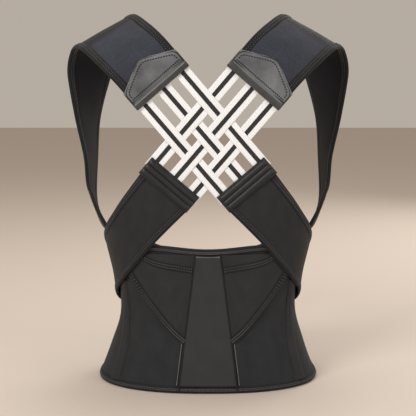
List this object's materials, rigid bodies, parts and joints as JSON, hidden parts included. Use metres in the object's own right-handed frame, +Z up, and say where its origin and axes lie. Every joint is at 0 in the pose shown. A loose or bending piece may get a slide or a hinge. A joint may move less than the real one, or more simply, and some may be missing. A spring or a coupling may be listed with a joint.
{
  "type": "back brace",
  "caption": "Posture back brace: lumbar belt with overlapping front wings, and two padded shoulder loops joined to it by a woven lattice of striped elastics.",
  "frame": {"origin": "on the ground under the middle of the closed belt", "axes": "+Z up, +Y towards the wearer's front, -Y the wearer's back with the elastic lattice, +X the wearer's right"},
  "size_m": [0.4206, 0.2201, 0.5319],
  "materials": {
    "belt_cloth": "ribbed knit over foam, matt charcoal",
    "binding_tape": "woven tape with zigzag stitching, matt",
    "panel_cloth": "close knit, matt, slightly lighter charcoal",
    "spring_steel": "flat spring steel, hidden",
    "strap_mesh": "knitted spacer mesh, navy grey",
    "strap_elastic": "wide woven elastic, matt charcoal",
    "lattice_elastic": "white woven elastic with a charcoal centre stripe",
    "tab_leather": "smooth grey leather with a soft sheen",
    "casing_cloth": "ribbed casing, matt",
    "hook_plastic": "moulded hook tape",
    "loop_pile": "brushed loop pile"
  },
  "bodies": {
    "back": {"belt_back": "belt_cloth", "bottom_binding": "binding_tape", "top_binding": "binding_tape", "centre_panel": "panel_cloth", "centre_stay_right": "spring_steel", "centre_stay_left": "spring_steel", "side_stay_right": "spring_steel", "side_stay_left": "spring_steel", "side_boning_cover_right": "belt_cloth", "side_boning_cover_left": "belt_cloth", "flap_right": "belt_cloth", "flap_left": "belt_cloth", "flap_edge_tape_right": "binding_tape", "flap_edge_tape_left": "binding_tape", "flap_seam_tape_right": "binding_tape", "flap_seam_tape_left": "binding_tape", "lower_strap_right": "strap_elastic", "lower_strap_left": "strap_elastic", "lower_strap_binding_right": "binding_tape", "lower_strap_binding_left": "binding_tape", "lower_casing_right": "casing_cloth", "lower_casing_left": "casing_cloth", "elastic_down_right_upper": "lattice_elastic", "elastic_down_right_middle": "lattice_elastic", "elastic_down_right_lower": "lattice_elastic", "elastic_down_left_upper": "lattice_elastic", "elastic_down_left_middle": "lattice_elastic", "elastic_down_left_lower": "lattice_elastic", "underarm_strap_right": "strap_mesh", "underarm_strap_left": "strap_mesh", "underarm_binding_right": "binding_tape", "underarm_binding_left": "binding_tape"},
    "outer_wing": {"outer_wing": "belt_cloth", "outer_wing_binding": "binding_tape", "hook_patch": "hook_plastic", "pull_strap_right": "strap_elastic"},
    "inner_wing": {"inner_wing": "belt_cloth", "inner_wing_binding": "binding_tape", "loop_patch": "loop_pile", "pull_strap_left": "strap_elastic"},
    "right_pull_tab": {"pull_tab_right": "strap_elastic", "pull_tab_hook_right": "hook_plastic"},
    "left_pull_tab": {"pull_tab_left": "strap_elastic", "pull_tab_hook_left": "hook_plastic"},
    "right_shoulder": {"shoulder_pad_right": "strap_mesh", "shoulder_binding_right": "binding_tape", "upper_tab_right": "tab_leather"},
    "left_shoulder": {"shoulder_pad_left": "strap_mesh", "shoulder_binding_left": "binding_tape", "upper_tab_left": "tab_leather"}
  },
  "joints": [
    {"name": "outer_wing_opening", "type": "hinge", "parent": "back", "child": "outer_wing", "pos_m": [0.164, 0.012, 0.1], "axis": [0, 0, -1], "range_deg": [0, 70]},
    {"name": "inner_wing_opening", "type": "hinge", "parent": "back", "child": "inner_wing", "pos_m": [-0.164, 0.012, 0.1], "axis": [0, 0, 1], "range_deg": [0, 35]},
    {"name": "right_pull_tab_peel", "type": "hinge", "parent": "outer_wing", "child": "right_pull_tab", "pos_m": [0.1037, 0.0757, 0.11], "axis": [0, 0, -1], "range_deg": [0, 60]},
    {"name": "left_pull_tab_peel", "type": "hinge", "parent": "inner_wing", "child": "left_pull_tab", "pos_m": [-0.1037, 0.0706, 0.11], "axis": [0, 0, 1], "range_deg": [0, 60]},
    {"name": "right_shoulder_stretch", "type": "slide", "parent": "back", "child": "right_shoulder", "axis": [0.6521, 0, 0.7581], "range_m": [0, 0.02], "stiffness_N_per_m": 600, "deforming": ["elastic_down_left_upper", "elastic_down_left_middle", "elastic_down_left_lower", "underarm_strap_right", "underarm_binding_right"]},
    {"name": "left_shoulder_stretch", "type": "slide", "parent": "back", "child": "left_shoulder", "axis": [-0.6521, 0, 0.7581], "range_m": [0, 0.02], "stiffness_N_per_m": 600, "deforming": ["elastic_down_right_upper", "elastic_down_right_middle", "elastic_down_right_lower", "underarm_strap_left", "underarm_binding_left"]}
  ],
  "couplings": [
    {"joint": "inner_wing_opening", "follows": "outer_wing_opening", "ratio": 0.5}
  ]
}
